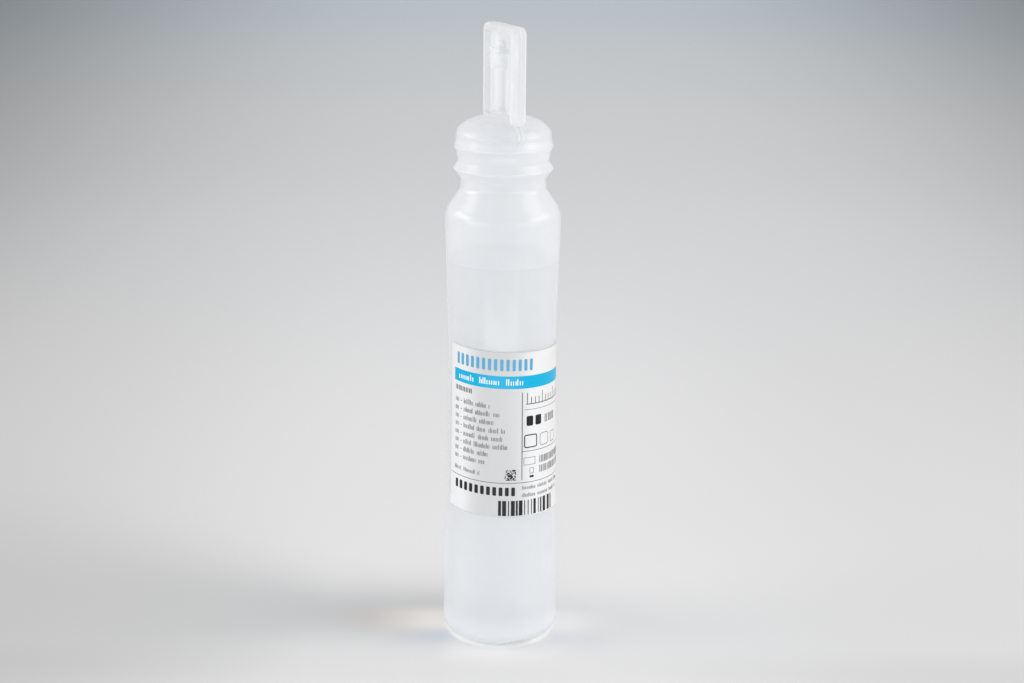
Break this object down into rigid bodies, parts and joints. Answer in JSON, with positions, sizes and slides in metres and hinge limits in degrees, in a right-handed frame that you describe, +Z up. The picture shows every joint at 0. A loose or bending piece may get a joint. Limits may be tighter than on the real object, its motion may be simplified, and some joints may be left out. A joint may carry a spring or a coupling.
{
  "type": "twist-off saline bottle",
  "caption": "Squeezable translucent bottle of clear irrigation fluid with a waisted body, ringed neck, domed top and a flat winged tab that twists off its nozzle.",
  "frame": {"origin": "centre of the flat foot on which the bottle stands", "axes": "+Z up along the bottle's axis, -Y through the middle of the label, X square to the plane of the tab and of the mould's parting line"},
  "size_m": [0.0368, 0.0368, 0.194],
  "materials": {
    "milky_polyethylene": "milky translucent low-density polyethylene, satin",
    "tab_polyethylene": "milky translucent low-density polyethylene, satin",
    "saline_solution": "clear watery liquid, standing in as a solid",
    "label_film": "white glossy printed film"
  },
  "bodies": {
    "bottle_body": {"bottle": "milky_polyethylene", "saline": "saline_solution", "label": "label_film"},
    "torn_ring": {"tear_ring": "tab_polyethylene"},
    "tab": {"twist_off_tab": "tab_polyethylene"}
  },
  "joints": [
    {"name": "tab_twist", "type": "hinge", "parent": "bottle_body", "child": "torn_ring", "pos_m": [0, 0, 0.169], "axis": [0, 0, 1], "range_deg": [-180, 180]},
    {"name": "tab_lift", "type": "slide", "parent": "torn_ring", "child": "tab", "axis": [0, 0, 1], "range_m": [0, 0.03]}
  ]
}
